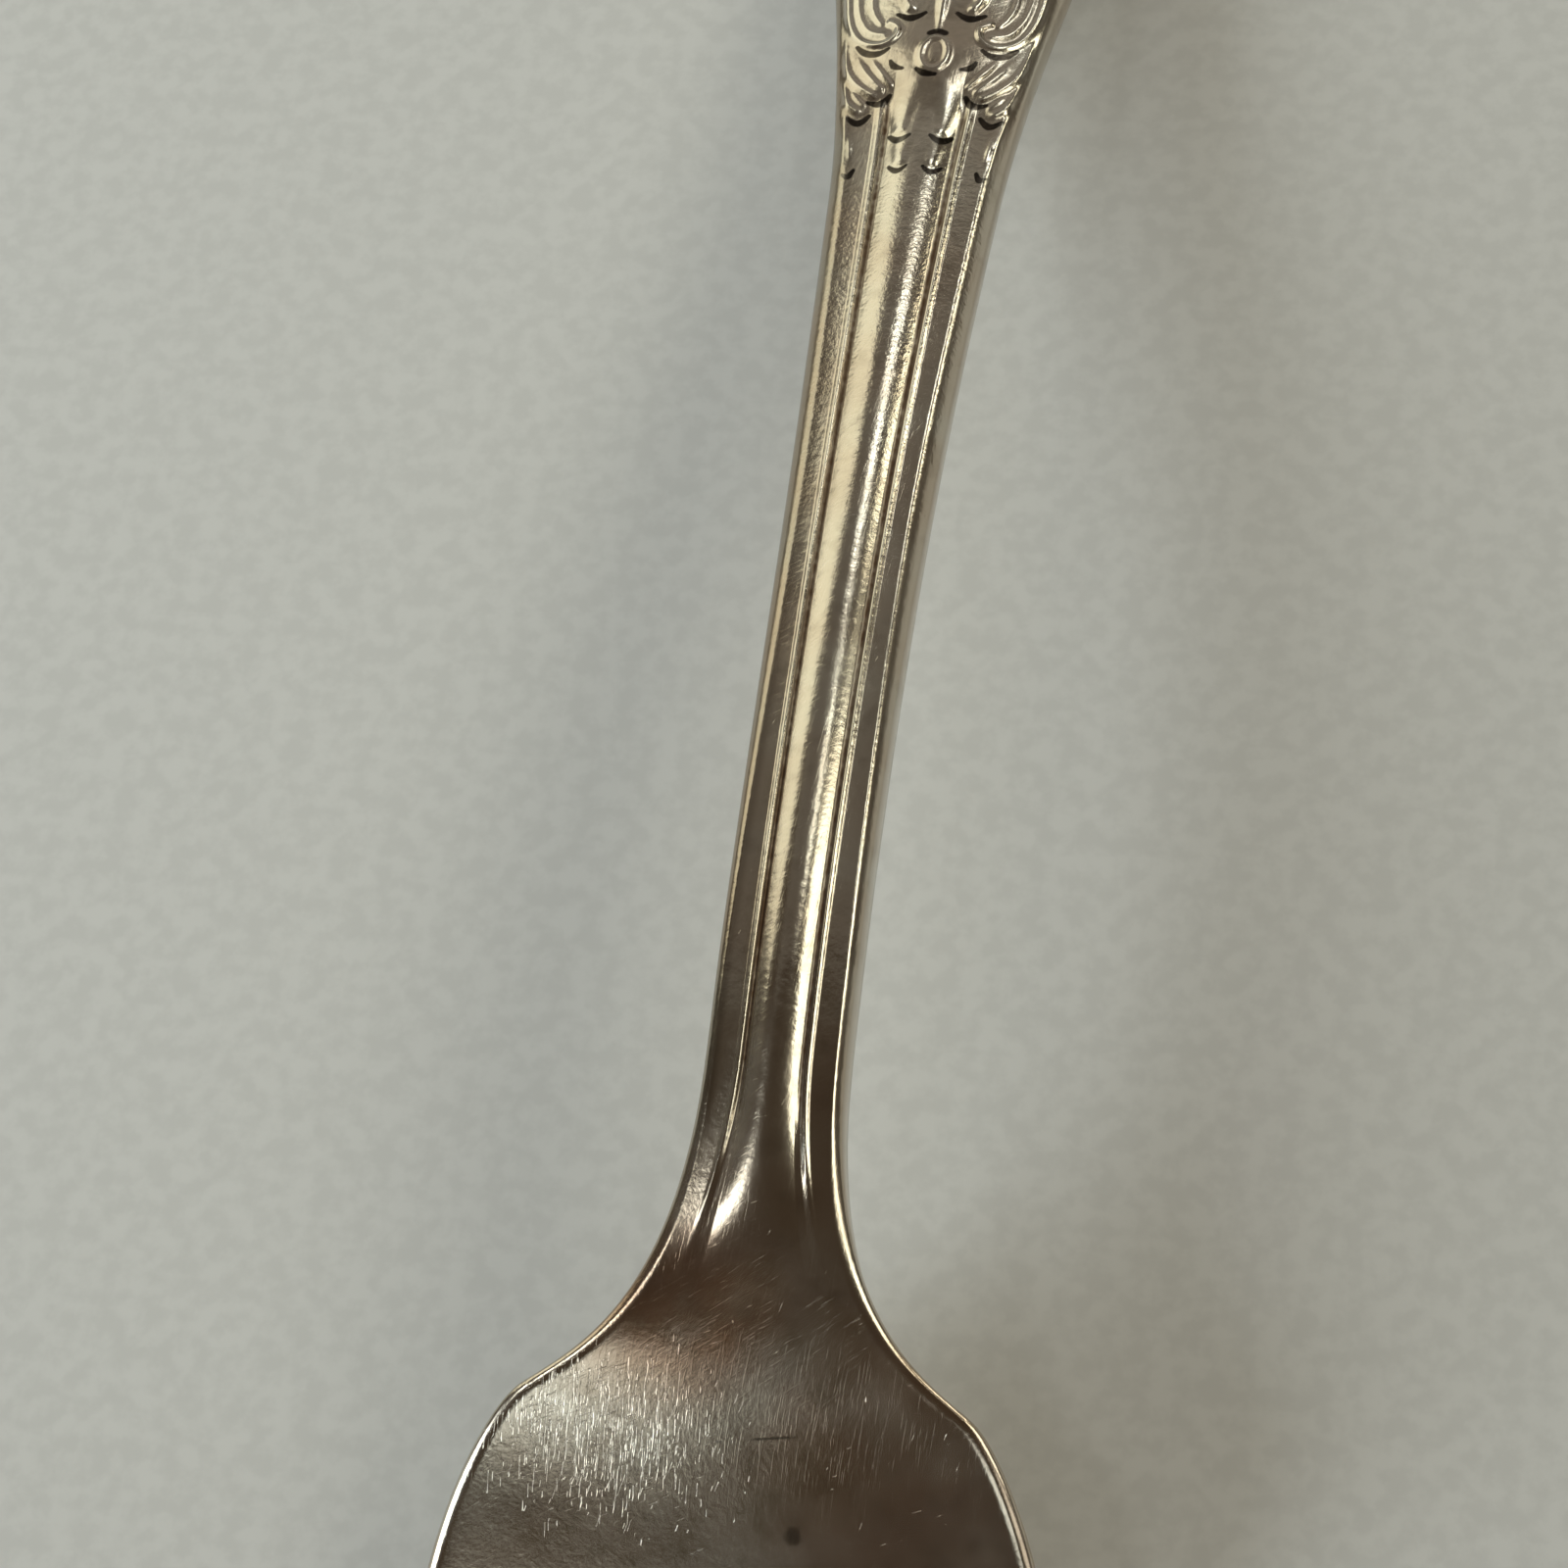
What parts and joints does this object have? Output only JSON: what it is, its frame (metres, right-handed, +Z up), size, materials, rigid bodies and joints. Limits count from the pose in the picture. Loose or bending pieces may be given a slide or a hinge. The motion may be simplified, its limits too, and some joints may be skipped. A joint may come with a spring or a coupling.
{
  "type": "salad fork",
  "caption": "Silver-plated table fork with a dished head, tapered tines, a fluted arched stem and a scroll-ornamented handle end, for eating salad or dessert.",
  "frame": {"origin": "on the table, under the middle of the fork's length, with the fork lying on its back", "axes": "+Y towards the end of the handle, -Y towards the tine tips, +Z up out of the front, X across"},
  "size_m": [0.027, 0.156, 0.0136],
  "materials": {
    "silver_plate": "satin"
  },
  "bodies": {
    "root": {"ornamented_end": "silver_plate", "fluted_stem": "silver_plate", "neck": "silver_plate", "head_plate": "silver_plate", "left_outer_tine": "silver_plate", "left_inner_tine": "silver_plate", "right_inner_tine": "silver_plate", "right_outer_tine": "silver_plate"}
  },
  "joints": []
}
